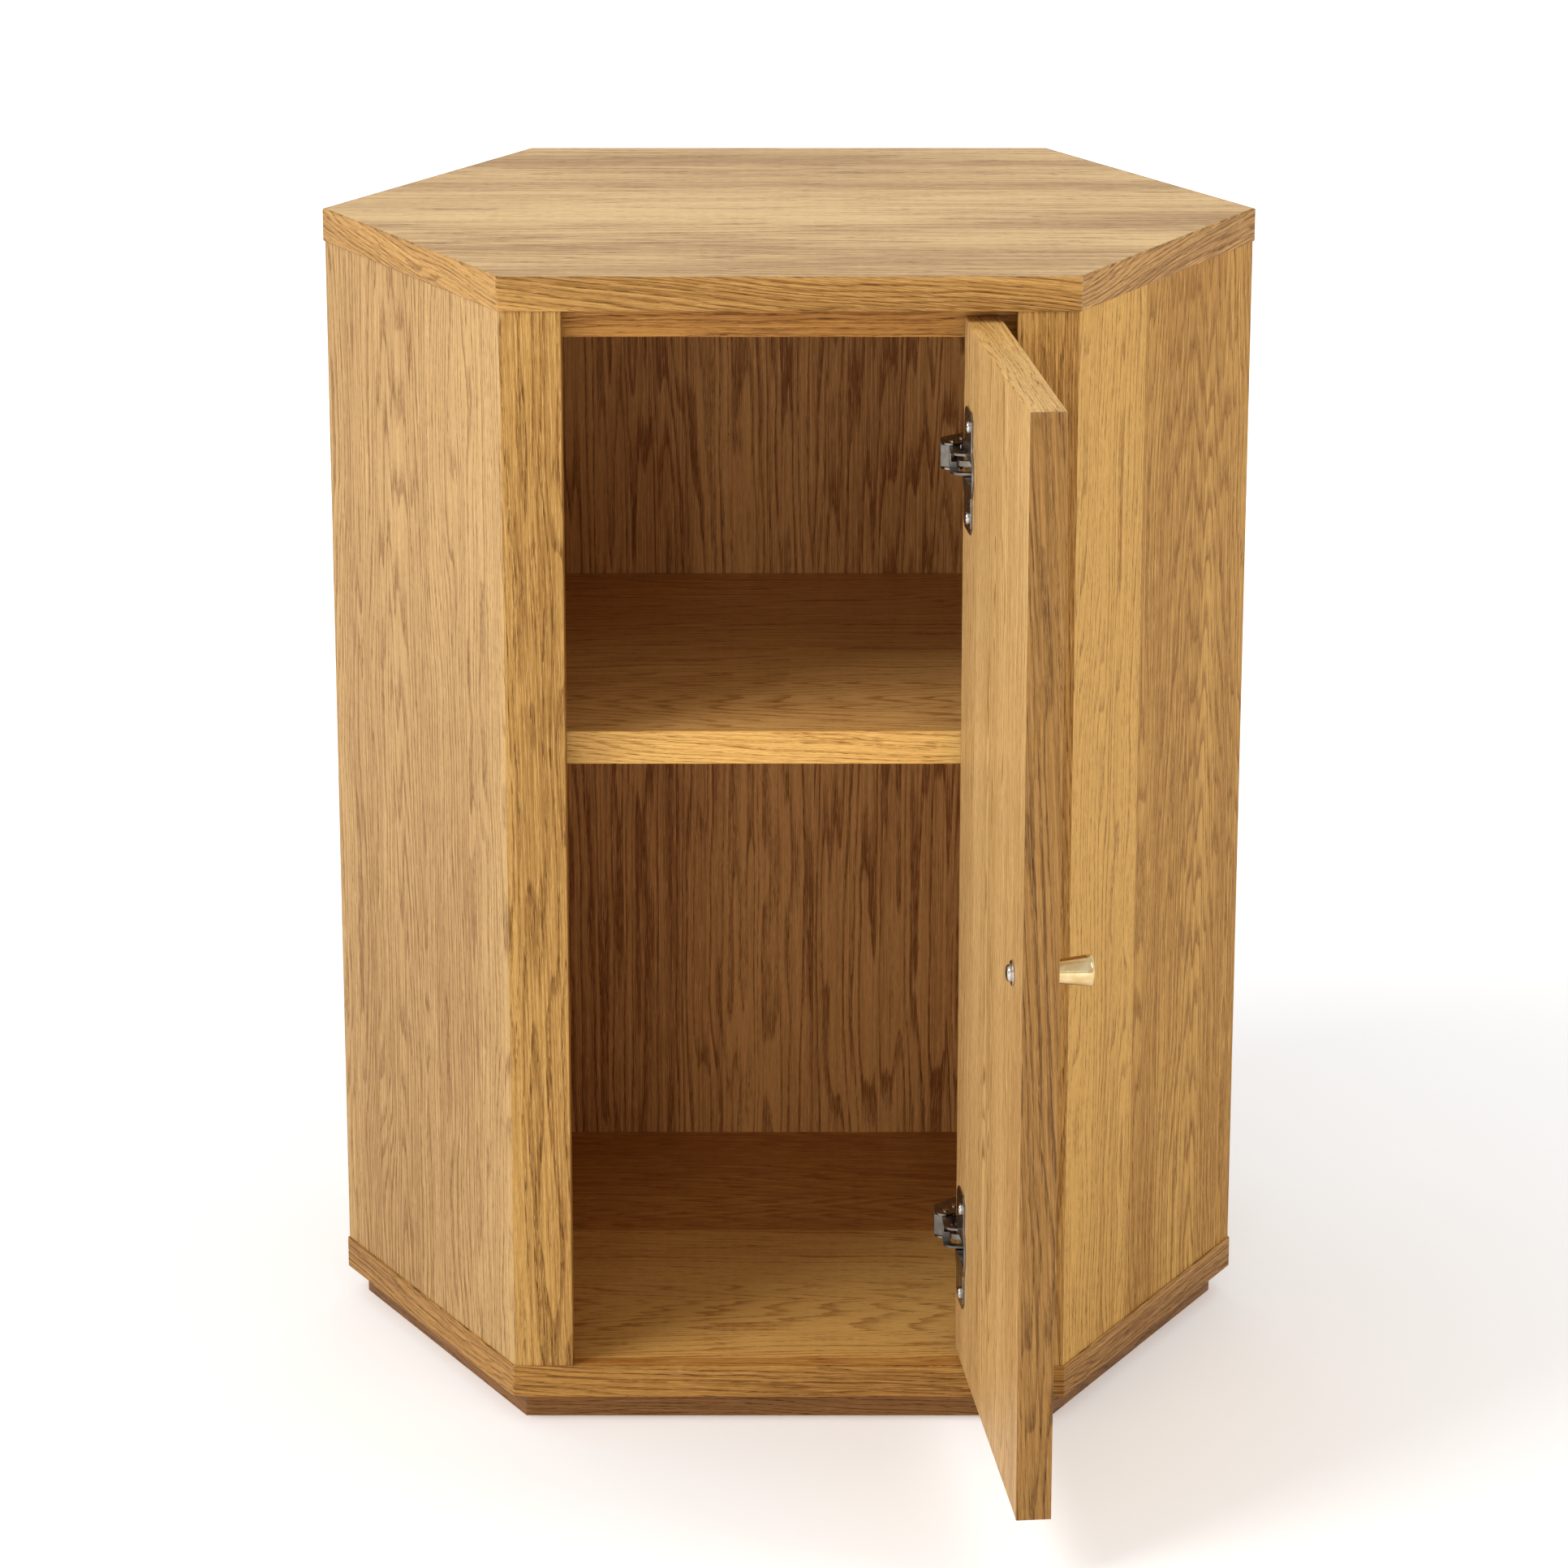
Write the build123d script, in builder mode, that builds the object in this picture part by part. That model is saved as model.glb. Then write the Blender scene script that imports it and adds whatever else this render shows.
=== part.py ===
from build123d import *
import os
from math import atan2, cos, degrees, radians, sin, sqrt

# A free-standing six-sided cabinet with one inset door, a shelf and a low plinth.
# Millimetres. Origin on the floor at the centre of the plan, +X right, -Y front, +Z up.
os.makedirs("parts", exist_ok=True)

# Carcass
WIDTH = 508  # across the two side corners
DEPTH = 384
FRONT_WIDTH = 298  # length of the front and back edges of the plan
HEIGHT = 632
BOARD = 18
PLINTH_HEIGHT = 15
PLINTH_INSET = 10
REVEAL = 1  # the top and base stand this far proud of the walls
EDGE_BAND = 1.5
ARRIS = 0.7  # rounding of a sharp edge

# Front opening
OPENING = 234
RAIL_SETBACK = 24
SHELF_TOP = 383
SHELF_SETBACK = 28

# Door, flush with the stiles when shut and shown open
DOOR_WIDTH = 229
DOOR_BOTTOM = 37
DOOR_TOP = 608
DOOR_EDGE = -2.5  # hinge edge of the shut door, from the edge of the opening
SWING = 96
WIDEST = 103  # as far as the hinges let the door open
POLE = (-14.5, 7.0)  # the axis the door turns about, from the edge of the opening

# Knob
KNOB_HEIGHT = 317
KNOB_FROM_EDGE = 34
KNOB_LENGTH = 22
KNOB_FOOT_RADIUS = 5.5
KNOB_END_RADIUS = 8
KNOB_SCREW_RADIUS = 2

# Concealed hinges
HINGE_HEIGHTS = {"upper": 532, "lower": 104}
CUP_RADIUS = 17.5
CUP_DEPTH = 11.5
CUP_FROM_EDGE = 22.5
FLANGE = 1.2
POCKET = 6.3  # half height of the pocket that the links fold into
PIN_RADIUS = 0.9
RUNNING_GAP = 0.06
OUTER_PIN = (-32, 31)  # pins of the two links in the arm, from the edge of the opening
INNER_PIN = (-27, 38)
OUTER_CUP_PIN = (-12.2, 13.6)  # pins of the two links in the cup, with the door shut
INNER_CUP_PIN = (-12.9, 9.5)
ARM_HALF = 7
SHEET = 1.0  # thickness of the arm's steel

# Fixings
DOWEL_RADIUS = 4
DOWEL_LENGTH = 30
DOWEL_IN_BOARD = 12  # depth of a dowel in the top or base
DOWEL_CHAMFER = 0.8
GLUE_ROOM = 0.5  # a dowel's hole is this much deeper than the dowel
CLEARANCE = 0.1  # between a pin or dowel and its hole, on the radius
GLUE_BLOCK = 60  # square that a plinth corner block is cut from
SHELF_GAP = 1
SHELF_PIN_RADIUS = 2.5
SHELF_PIN_LENGTH = 18
SHELF_PIN_IN_WALL = 8
SHELF_PIN_HEIGHT = SHELF_TOP - BOARD - SHELF_PIN_RADIUS - CLEARANCE
PILOT_RADIUS = 1.8  # holes for the wood screws in the door and hinge blocks
CUP_SCREW_LENGTH = 13
PLATE_SCREW_LENGTH = 14
PLATE_SCREW_RISE = 16
WASHER_RADIUS = 6.5
WASHER_THICKNESS = 1

WALL_BOTTOM = PLINTH_HEIGHT + BOARD
WALL_TOP = HEIGHT - BOARD
WALLS = ("front", "front_right", "back_right", "back", "back_left", "front_left")
FRONT_FACE = -DEPTH / 2 + REVEAL
JAMB = OPENING / 2
LEAN = (WIDTH - FRONT_WIDTH) / DEPTH  # sideways run of an angled side per unit of depth


def save(name, piece):
    """Label one finished piece and write its file."""
    piece.part.label = name
    export_step(piece.part, f"parts/{name}.step")


def footprint(inset):
    """Corners of the plan, all edges moved in by inset, anticlockwise from front left."""
    side_shift = inset * sqrt(1 + LEAN**2)
    front_x = FRONT_WIDTH / 2 + LEAN * inset - side_shift
    side_x = WIDTH / 2 - side_shift
    y = DEPTH / 2 - inset
    return [(-front_x, -y), (front_x, -y), (side_x, 0), (front_x, y), (-front_x, y), (-side_x, 0)]


def wall_plan(side, outer, inner):
    """Mitred plan of one side of a six-sided ring between two insets."""
    out, inn = footprint(outer), footprint(inner)
    after = (side + 1) % 6
    return [out[side], out[after], inn[after], inn[side]]


def along_wall(side, share, inset):
    """Point part of the way along one side, at an inset from the outline."""
    corners = footprint(inset)
    start, end = Vector(*corners[side]), Vector(*corners[(side + 1) % 6])
    return start + (end - start) * share


def dowel_spots(side):
    """Where a side's dowels stand: two in a full side, one in each stile at the front."""
    inset = REVEAL + BOARD / 2
    front_end = footprint(inset)[1][0]
    stile_middle = (front_end - JAMB) / 2 / (2 * front_end)
    share = stile_middle if side == 0 else 0.2
    return [along_wall(side, place, inset) for place in (share, 1 - share)]


DOWELS = [spot for side in range(6) for spot in dowel_spots(side)]


def round_outside(ring, radius):
    """Round every edge of the faces that look away from the middle."""
    sides = [f for f in ring.faces() if abs(f.normal_at().Z) < 0.5]
    outside = ShapeList(f for f in sides if f.normal_at().dot(f.center()) > 0)
    fillet(outside.edges(), radius=radius)


# ---- Top and base boards, each edged all round ----
def edged_board(name, bottom, dowel_face):
    """A six-sided board with its edging; dowel holes are drilled from dowel_face."""
    with BuildPart() as board:
        with BuildSketch(Plane.XY.offset(bottom)):
            with BuildLine():
                Polyline(*footprint(EDGE_BAND), close=True)
            make_face()
        extrude(amount=BOARD)
        inward = 1 if dowel_face == bottom else -1
        with BuildSketch(Plane.XY.offset(dowel_face)):
            with Locations(*DOWELS):
                Circle(DOWEL_RADIUS + CLEARANCE)
        extrude(amount=inward * (DOWEL_IN_BOARD + GLUE_ROOM), mode=Mode.SUBTRACT)
    save(f"{name}_panel", board)

    with BuildPart() as edging:
        with BuildSketch(Plane.XY.offset(bottom)):
            with BuildLine():
                Polyline(*footprint(0), close=True)
            make_face()
            with BuildLine():
                Polyline(*footprint(EDGE_BAND), close=True)
            make_face(mode=Mode.SUBTRACT)
        extrude(amount=BOARD)
        round_outside(edging, ARRIS)
    save(f"{name}_edging", edging)


edged_board("base", PLINTH_HEIGHT, WALL_BOTTOM)
edged_board("top", WALL_TOP, WALL_TOP)


# ---- Side panels and back panel, mitred to each other ----
for side in range(1, 6):
    with BuildPart() as wall:
        with BuildSketch(Plane.XY.offset(WALL_BOTTOM)):
            with BuildLine():
                Polyline(*wall_plan(side, REVEAL, REVEAL + BOARD), close=True)
            make_face()
        extrude(amount=WALL_TOP - WALL_BOTTOM)
        for end, into in ((WALL_BOTTOM, 1), (WALL_TOP, -1)):
            with BuildSketch(Plane.XY.offset(end)):
                with Locations(*dowel_spots(side)):
                    Circle(DOWEL_RADIUS + CLEARANCE)
            extrude(amount=into * (DOWEL_LENGTH - DOWEL_IN_BOARD + GLUE_ROOM), mode=Mode.SUBTRACT)
        if side != 3:
            middle = along_wall(side, 0.5, REVEAL + BOARD)
            corners = footprint(REVEAL + BOARD)
            run = Vector(*corners[(side + 1) % 6]) - Vector(*corners[side])
            inward = Vector(0, 0, 1).cross(run)
            spot = middle + Vector(0, 0, SHELF_PIN_HEIGHT)
            with BuildSketch(Plane(origin=spot, x_dir=run, z_dir=inward)):
                Circle(SHELF_PIN_RADIUS + CLEARANCE)
            extrude(amount=-SHELF_PIN_IN_WALL - 1, mode=Mode.SUBTRACT)
    save(f"{WALLS[side]}_panel", wall)

for sign, hand in ((-1, "left"), (1, "right")):
    outer_corner = footprint(REVEAL)[1]
    inner_corner = footprint(REVEAL + BOARD)[1]
    plan = [(JAMB, outer_corner[1]), outer_corner, inner_corner, (JAMB, inner_corner[1])]
    with BuildPart() as stile:
        with BuildSketch(Plane.XY.offset(WALL_BOTTOM)):
            with BuildLine():
                Polyline(*[(sign * x, y) for x, y in plan], close=True)
            make_face()
        extrude(amount=WALL_TOP - WALL_BOTTOM)
        jamb_edges = stile.edges().filter_by(Axis.Z).sort_by(Axis.X)
        fillet(jamb_edges[:2] if sign > 0 else jamb_edges[-2:], radius=ARRIS)
        for end, into in ((WALL_BOTTOM, 1), (WALL_TOP, -1)):
            with BuildSketch(Plane.XY.offset(end)):
                with Locations(dowel_spots(0)[0 if sign < 0 else 1]):
                    Circle(DOWEL_RADIUS + CLEARANCE)
            extrude(amount=into * (DOWEL_LENGTH - DOWEL_IN_BOARD + GLUE_ROOM), mode=Mode.SUBTRACT)
    save(f"stile_{hand}", stile)

# ---- Head rail, tying the walls together behind the top of the opening ----
with BuildPart() as head_rail:
    with BuildSketch(Plane.XY.offset(WALL_TOP - BOARD)):
        with BuildLine():
            Polyline(*footprint(REVEAL + BOARD), close=True)
        make_face()
        with Locations((0, -DEPTH / 2 + RAIL_SETBACK + BOARD / 2)):
            Rectangle(WIDTH, BOARD, mode=Mode.INTERSECT)
    extrude(amount=BOARD)
save("head_rail", head_rail)

# ---- Dowels between the walls and the top and base ----
for name, middle in (("base", WALL_BOTTOM), ("top", WALL_TOP)):
    toward_board = -1 if name == "base" else 1
    with BuildPart() as dowels:
        with BuildSketch(Plane.XY.offset(middle + toward_board * DOWEL_IN_BOARD)):
            with Locations(*DOWELS):
                Circle(DOWEL_RADIUS)
        extrude(amount=-toward_board * DOWEL_LENGTH)
        chamfer(dowels.edges(), length=DOWEL_CHAMFER)
    save(f"{name}_dowels", dowels)

# ---- Plinth: six mitred boards, a brace across the middle and glue blocks in the corners ----
for side in range(6):
    with BuildPart() as plinth_board:
        with BuildSketch():
            with BuildLine():
                Polyline(*wall_plan(side, PLINTH_INSET, PLINTH_INSET + BOARD), close=True)
            make_face()
        extrude(amount=PLINTH_HEIGHT)
    save(f"plinth_{WALLS[side]}", plinth_board)

with BuildPart() as plinth_brace:
    with BuildSketch():
        Rectangle(BOARD, DEPTH - 2 * (PLINTH_INSET + BOARD))
    extrude(amount=PLINTH_HEIGHT)
save("plinth_brace", plinth_brace)

with BuildPart() as plinth_blocks:
    for corner in footprint(PLINTH_INSET + BOARD):
        spot = Vector(*corner)
        toward_middle = degrees(atan2(-spot.Y, -spot.X))
        with BuildSketch(Plane.XY.offset(1)):
            with Locations(Location(spot, toward_middle)):
                Rectangle(GLUE_BLOCK, GLUE_BLOCK)
            with BuildLine():
                Polyline(*footprint(PLINTH_INSET + BOARD + CLEARANCE), close=True)
            make_face(mode=Mode.INTERSECT)
        extrude(amount=PLINTH_HEIGHT - 1)
save("plinth_blocks", plinth_blocks)

# ---- Shelf on four pins ----
SHELF_FRONT = -DEPTH / 2 + SHELF_SETBACK
with BuildPart() as shelf_panel:
    with BuildSketch(Plane.XY.offset(SHELF_TOP - BOARD)):
        with BuildLine():
            Polyline(*footprint(REVEAL + BOARD + SHELF_GAP), close=True)
        make_face()
        with Locations((0, SHELF_FRONT + EDGE_BAND)):
            Rectangle(WIDTH, DEPTH, align=(Align.CENTER, Align.MIN), mode=Mode.INTERSECT)
    extrude(amount=BOARD)
save("shelf_panel", shelf_panel)

with BuildPart() as shelf_edging:
    with BuildSketch(Plane.XY.offset(SHELF_TOP - BOARD)):
        with BuildLine():
            Polyline(*footprint(REVEAL + BOARD + SHELF_GAP), close=True)
        make_face()
        with Locations((0, SHELF_FRONT)):
            Rectangle(WIDTH, EDGE_BAND, align=(Align.CENTER, Align.MIN), mode=Mode.INTERSECT)
    extrude(amount=BOARD)
    front = shelf_edging.faces().sort_by(Axis.Y)[0]
    fillet(front.edges().filter_by(Axis.X), radius=ARRIS)
save("shelf_edging", shelf_edging)

with BuildPart() as shelf_pins:
    for side in (1, 2, 4, 5):
        corners = footprint(REVEAL + BOARD)
        run = Vector(*corners[(side + 1) % 6]) - Vector(*corners[side])
        inward = Vector(0, 0, 1).cross(run).normalized()
        face_spot = along_wall(side, 0.5, REVEAL + BOARD) + Vector(0, 0, SHELF_PIN_HEIGHT)
        spot = face_spot - inward * SHELF_PIN_IN_WALL
        with BuildSketch(Plane(origin=spot, x_dir=run, z_dir=inward)):
            Circle(SHELF_PIN_RADIUS)
        extrude(amount=SHELF_PIN_LENGTH)
    chamfer(shelf_pins.edges(), length=ARRIS)
save("shelf_pins", shelf_pins)


# ---- Door: all its pieces are placed shut, then turned open about the pole ----
def door_plan(height):
    """Level plane on the door at a height, its origin on the pole."""
    turned = (cos(radians(SWING)), sin(radians(SWING)), 0)
    pole = (JAMB + POLE[0], FRONT_FACE + POLE[1], height)
    return Plane(origin=pole, x_dir=turned, z_dir=(0, 0, 1))


def on_door(along, depth, height):
    """Plane facing out of the door's inner side, at a place given with the door shut."""
    level = door_plan(height)
    spot = level.from_local_coords((along - POLE[0], depth - POLE[1], 0))
    return Plane(origin=spot, x_dir=level.x_dir, z_dir=level.y_dir)


def door_slab(left, right, bottom, top):
    """Plain board in the thickness of the door."""
    with BuildPart() as slab:
        with BuildSketch(door_plan(bottom)):
            with Locations((left - POLE[0], -POLE[1])):
                Rectangle(right - left, BOARD, align=(Align.MIN, Align.MIN))
        extrude(amount=top - bottom)
    return slab.part


FREE_EDGE = DOOR_EDGE - DOOR_WIDTH
CUP_CENTRE = DOOR_EDGE - CUP_FROM_EDGE
KNOB_ALONG = FREE_EDGE + KNOB_FROM_EDGE
CUP_SCREW_ALONG = CUP_CENTRE - 6
CUP_SCREW_RISE = 24
CUP_GAP = 0.05

slab = door_slab(
    FREE_EDGE + EDGE_BAND, DOOR_EDGE - EDGE_BAND, DOOR_BOTTOM + EDGE_BAND, DOOR_TOP - EDGE_BAND
)
with BuildPart() as door_panel:
    add(slab)
    for height in HINGE_HEIGHTS.values():
        with BuildSketch(on_door(CUP_CENTRE, BOARD, height)):
            Circle(CUP_RADIUS + CUP_GAP)
        extrude(amount=-CUP_DEPTH - 2 * CUP_GAP, mode=Mode.SUBTRACT)
        with BuildSketch(on_door(CUP_SCREW_ALONG, BOARD, height)):
            with Locations((0, CUP_SCREW_RISE), (0, -CUP_SCREW_RISE)):
                Circle(PILOT_RADIUS)
        extrude(amount=-CUP_SCREW_LENGTH, mode=Mode.SUBTRACT)
    with BuildSketch(on_door(KNOB_ALONG, BOARD, KNOB_HEIGHT)):
        Circle(KNOB_SCREW_RADIUS + 2 * CLEARANCE)
    extrude(amount=-BOARD, mode=Mode.SUBTRACT)
save("door_panel", door_panel)

strips = [
    door_slab(FREE_EDGE, FREE_EDGE + EDGE_BAND, DOOR_BOTTOM, DOOR_TOP),
    door_slab(DOOR_EDGE - EDGE_BAND, DOOR_EDGE, DOOR_BOTTOM, DOOR_TOP),
    door_slab(FREE_EDGE + EDGE_BAND, DOOR_EDGE - EDGE_BAND, DOOR_BOTTOM, DOOR_BOTTOM + EDGE_BAND),
    door_slab(FREE_EDGE + EDGE_BAND, DOOR_EDGE - EDGE_BAND, DOOR_TOP - EDGE_BAND, DOOR_TOP),
]
along_door = door_plan(0).x_dir
away = {
    "free_edge": -along_door,
    "hinge_edge": along_door,
    "bottom_edge": (0, 0, -1),
    "top_edge": (0, 0, 1),
}
for (name, outward), strip in zip(away.items(), strips):
    with BuildPart() as edging:
        add(strip)
        face = edging.faces().sort_by(Axis((0, 0, 0), outward))[-1]
        fillet(face.edges().sort_by(SortBy.LENGTH)[-2:], radius=ARRIS)
    save(f"door_{name}", edging)

# ---- Knob, turned brass, held by a screw and washer from inside the door ----
KNOB_FOOT_BEVEL = 0.5
KNOB_ROUNDING = 2.1
KNOB_HOLE = 11
with BuildPart() as knob:
    axis_plane = on_door(KNOB_ALONG, 0, KNOB_HEIGHT)
    outward_x = Plane(origin=axis_plane.origin, x_dir=axis_plane.x_dir, z_dir=-axis_plane.y_dir)
    foot_inner = (KNOB_FOOT_RADIUS - KNOB_FOOT_BEVEL, 0)
    foot_outer = (KNOB_FOOT_RADIUS, -KNOB_FOOT_BEVEL)
    widest = (KNOB_END_RADIUS, -KNOB_LENGTH + 2)
    end_rim = (KNOB_END_RADIUS - 2.2, -KNOB_LENGTH + 0.1)
    with BuildSketch(outward_x):
        with BuildLine():
            Polyline((0, 0), foot_inner, foot_outer, widest)
            RadiusArc(widest, end_rim, KNOB_ROUNDING)
            Polyline(end_rim, (0, -KNOB_LENGTH), (0, 0))
        make_face()
    revolve(axis=Axis(axis_plane.origin, axis_plane.z_dir))
    with BuildSketch(axis_plane):
        Circle(KNOB_SCREW_RADIUS + CUP_GAP)
    extrude(amount=-KNOB_HOLE, mode=Mode.SUBTRACT)
save("knob", knob)

with BuildPart() as knob_washer:
    with BuildSketch(on_door(KNOB_ALONG, BOARD, KNOB_HEIGHT)):
        Circle(WASHER_RADIUS)
        Circle(KNOB_SCREW_RADIUS + CLEARANCE, mode=Mode.SUBTRACT)
    extrude(amount=WASHER_THICKNESS)
    rims = knob_washer.edges().filter_by(GeomType.CIRCLE).sort_by(SortBy.RADIUS)[-2:]
    fillet(rims, radius=0.3)
save("knob_washer", knob_washer)


def screw(seat, head_radius, head_height, shank_radius, shank_length):
    """Pan-head cross-recess screw standing on a plane, its shank behind the plane."""
    with BuildPart() as made:
        with BuildSketch(seat):
            Circle(head_radius)
        extrude(amount=head_height)
        rim = made.faces().sort_by(Axis(seat.origin, seat.z_dir))[-1].edges()
        fillet(rim, radius=head_height * 0.75)
        with BuildSketch(seat):
            Circle(shank_radius)
        extrude(amount=-shank_length)
        with BuildSketch(seat.offset(head_height)):
            Rectangle(head_radius * 1.15, head_radius * 0.24)
            Rectangle(head_radius * 0.24, head_radius * 1.15)
        extrude(amount=-head_height * 0.6, mode=Mode.SUBTRACT)
    return made.part


KNOB_SCREW_SEAT = on_door(KNOB_ALONG, BOARD + WASHER_THICKNESS, KNOB_HEIGHT)
KNOB_SCREW_HEAD = (4.5, 2.4)  # radius and height
KNOB_SCREW_LENGTH = 29
knob_screw_shape = screw(KNOB_SCREW_SEAT, *KNOB_SCREW_HEAD, KNOB_SCREW_RADIUS, KNOB_SCREW_LENGTH)
with BuildPart() as knob_screw:
    add(knob_screw_shape)
save("knob_screw", knob_screw)


# ---- Hinge blocks behind the right stile ----
BLOCK_DEPTH = 72
BLOCK_HALF = 36
BLOCK_FRONT = FRONT_FACE + BOARD
PLATE_SCREW_DEPTH = 57
with BuildPart() as hinge_blocks:
    for height in HINGE_HEIGHTS.values():
        with BuildSketch(Plane.XY.offset(height - BLOCK_HALF)):
            with Locations((JAMB, BLOCK_FRONT)):
                Rectangle(BOARD, BLOCK_DEPTH, align=(Align.MIN, Align.MIN))
        extrude(amount=2 * BLOCK_HALF)
        place = (JAMB, FRONT_FACE + PLATE_SCREW_DEPTH, height)
        with BuildSketch(Plane(origin=place, x_dir=(0, 1, 0), z_dir=(-1, 0, 0))):
            with Locations((0, PLATE_SCREW_RISE), (0, -PLATE_SCREW_RISE)):
                Circle(PILOT_RADIUS)
        extrude(amount=-PLATE_SCREW_LENGTH, mode=Mode.SUBTRACT)
save("hinge_blocks", hinge_blocks)


# ---- One concealed hinge: cup and pins on the door, arm and plate on the block ----
def beside(u, v, height):
    """Level plane at a place given from the edge of the opening and the front face."""
    return Plane(origin=(JAMB + u, FRONT_FACE + v, height), x_dir=(1, 0, 0), z_dir=(0, 0, 1))


def shut_to_open(u, v, swing=SWING):
    """Where a place on the shut door stands once the door is open, in the same terms."""
    du, dv = u - POLE[0], v - POLE[1]
    c, s = cos(radians(swing)), sin(radians(swing))
    return (POLE[0] + c * du - s * dv, POLE[1] + s * du + c * dv)


FLANGE_SHAPE = [
    (12, -28), (12, 28), (8, 32), (-10, 32), (-14, 28), (-14, -28), (-10, -32), (8, -32),
]
POCKET_FAR = -41  # ends of the pocket along the shut door
POCKET_NEAR = -9.2
POCKET_FLOOR = 7.2
NOTCH_FLOOR = 13.5
CUP_PIN_HALF = 9  # half the length of a pin across the cup
CUP_PIN_INNER = 4.3  # inner ends of the outer link's two short pins
PIN_FIT = 0.02


def cup(height):
    """Steel cup with a screw flange, a pocket for the links and a notch in its rim."""
    mouth = on_door(CUP_CENTRE, BOARD, height)
    with BuildPart() as made:
        with BuildSketch(mouth):
            Circle(CUP_RADIUS)
        extrude(amount=-CUP_DEPTH)
        with BuildSketch(mouth):
            with BuildLine():
                Polyline(*FLANGE_SHAPE, close=True)
            make_face()
            Circle(CUP_RADIUS + 1)
        extrude(amount=FLANGE)
        top = made.faces().sort_by(Axis(mouth.origin, mouth.z_dir))[-1]
        chamfer(top.outer_wire().edges(), length=0.4)
        for near, floor in ((POCKET_NEAR, POCKET_FLOOR), (DOOR_EDGE, NOTCH_FLOOR)):
            with BuildSketch(on_door((POCKET_FAR + near) / 2, BOARD + FLANGE, height)):
                Rectangle(near - POCKET_FAR, 2 * POCKET)
            extrude(amount=-(BOARD + FLANGE - floor), mode=Mode.SUBTRACT)
        for u, v in (OUTER_CUP_PIN, INNER_CUP_PIN):
            with BuildSketch(door_plan(height - CUP_PIN_HALF)):
                with Locations((u - POLE[0], v - POLE[1])):
                    Circle(PIN_RADIUS + PIN_FIT)
            extrude(amount=2 * CUP_PIN_HALF, mode=Mode.SUBTRACT)
        with BuildSketch(on_door(CUP_SCREW_ALONG, BOARD, height)):
            with Locations((0, CUP_SCREW_RISE), (0, -CUP_SCREW_RISE)):
                Circle(2)
        extrude(amount=FLANGE, mode=Mode.SUBTRACT)
    return made.part


def cup_pins(height):
    """Two short pins for the outer link and one through pin for the inner link."""
    with BuildPart() as made:
        for low in (CUP_PIN_INNER, -CUP_PIN_HALF):
            with BuildSketch(door_plan(height + low)):
                with Locations((OUTER_CUP_PIN[0] - POLE[0], OUTER_CUP_PIN[1] - POLE[1])):
                    Circle(PIN_RADIUS)
            extrude(amount=CUP_PIN_HALF - CUP_PIN_INNER)
        with BuildSketch(door_plan(height - CUP_PIN_HALF)):
            with Locations((INNER_CUP_PIN[0] - POLE[0], INNER_CUP_PIN[1] - POLE[1])):
                Circle(PIN_RADIUS)
        extrude(amount=2 * CUP_PIN_HALF)
    return made.part


ARM_FACE = -15  # the outer face of the arm's straight part, from the edge of the opening
ARM_BACK = 88
ARM_OUTLINE = [
    (-38, 31),
    (-38, 40),
    (ARM_FACE, 63),
    (ARM_FACE, ARM_BACK),
    (-7, ARM_BACK),
    (-7, 62),
    (-20, 46),
    (-23, 33),
    (-27, 27.5),
    (-32, 25),
]
ARM_NOSE_RADIUS = 6
ARM_HOLLOW = [
    (-50, 20),
    (-50, 34.5),
    (-38 + SHEET, 34.5),
    (-38 + SHEET, 39.6),
    (ARM_FACE + SHEET, 62.6),
    (ARM_FACE + SHEET, 95),
    (0, 95),
    (0, 20),
]
ARM_SCREW_DEPTHS = (69, 80)  # the fixing screw and the adjusting screw behind it
ARM_SCREW_HOLE = 2.6
RIVET_RADIUS = 1.7
RIVET_HEIGHT = 0.5


def arm(height):
    """Cranked steel channel, open towards the block, its nose round the front pin."""
    with BuildPart() as made:
        with BuildSketch(beside(0, 0, height - ARM_HALF)):
            with BuildLine():
                Polyline(*ARM_OUTLINE)
                RadiusArc(ARM_OUTLINE[-1], ARM_OUTLINE[0], ARM_NOSE_RADIUS)
            make_face()
        extrude(amount=2 * ARM_HALF)
        with BuildSketch(beside(0, 0, height - ARM_HALF + SHEET)):
            with BuildLine():
                Polyline(*ARM_HOLLOW, close=True)
            make_face()
        extrude(amount=2 * (ARM_HALF - SHEET), mode=Mode.SUBTRACT)
        with BuildSketch(beside(0, 0, height - ARM_HALF)):
            with Locations(OUTER_PIN, INNER_PIN):
                Circle(PIN_RADIUS + PIN_FIT)
        extrude(amount=2 * ARM_HALF, mode=Mode.SUBTRACT)
        for depth in ARM_SCREW_DEPTHS:
            place = (JAMB + ARM_FACE, FRONT_FACE + depth, height)
            with BuildSketch(Plane(origin=place, z_dir=(1, 0, 0))):
                Circle(ARM_SCREW_HOLE)
            extrude(amount=SHEET, mode=Mode.SUBTRACT)
    return made.part


def arm_pins(height):
    """The links' two pins through the arm, riveted over at both ends."""
    with BuildPart() as made:
        for u, v in (OUTER_PIN, INNER_PIN):
            with BuildSketch(beside(u, v, height - ARM_HALF)):
                Circle(PIN_RADIUS)
            extrude(amount=2 * ARM_HALF)
            for low in (-ARM_HALF - RIVET_HEIGHT, ARM_HALF):
                with BuildSketch(beside(u, v, height + low)):
                    Circle(RIVET_RADIUS)
                extrude(amount=RIVET_HEIGHT)
    return made.part


ARM_SCREW_HEAD = (3.9, 2.2)  # radius and height
ARM_SCREW_SHANK = (2.4, 10.5)  # radius and length
WOOD_SCREW_HEAD = (3.4, 1.9)
WOOD_SCREW_RADIUS = 1.75


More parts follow.
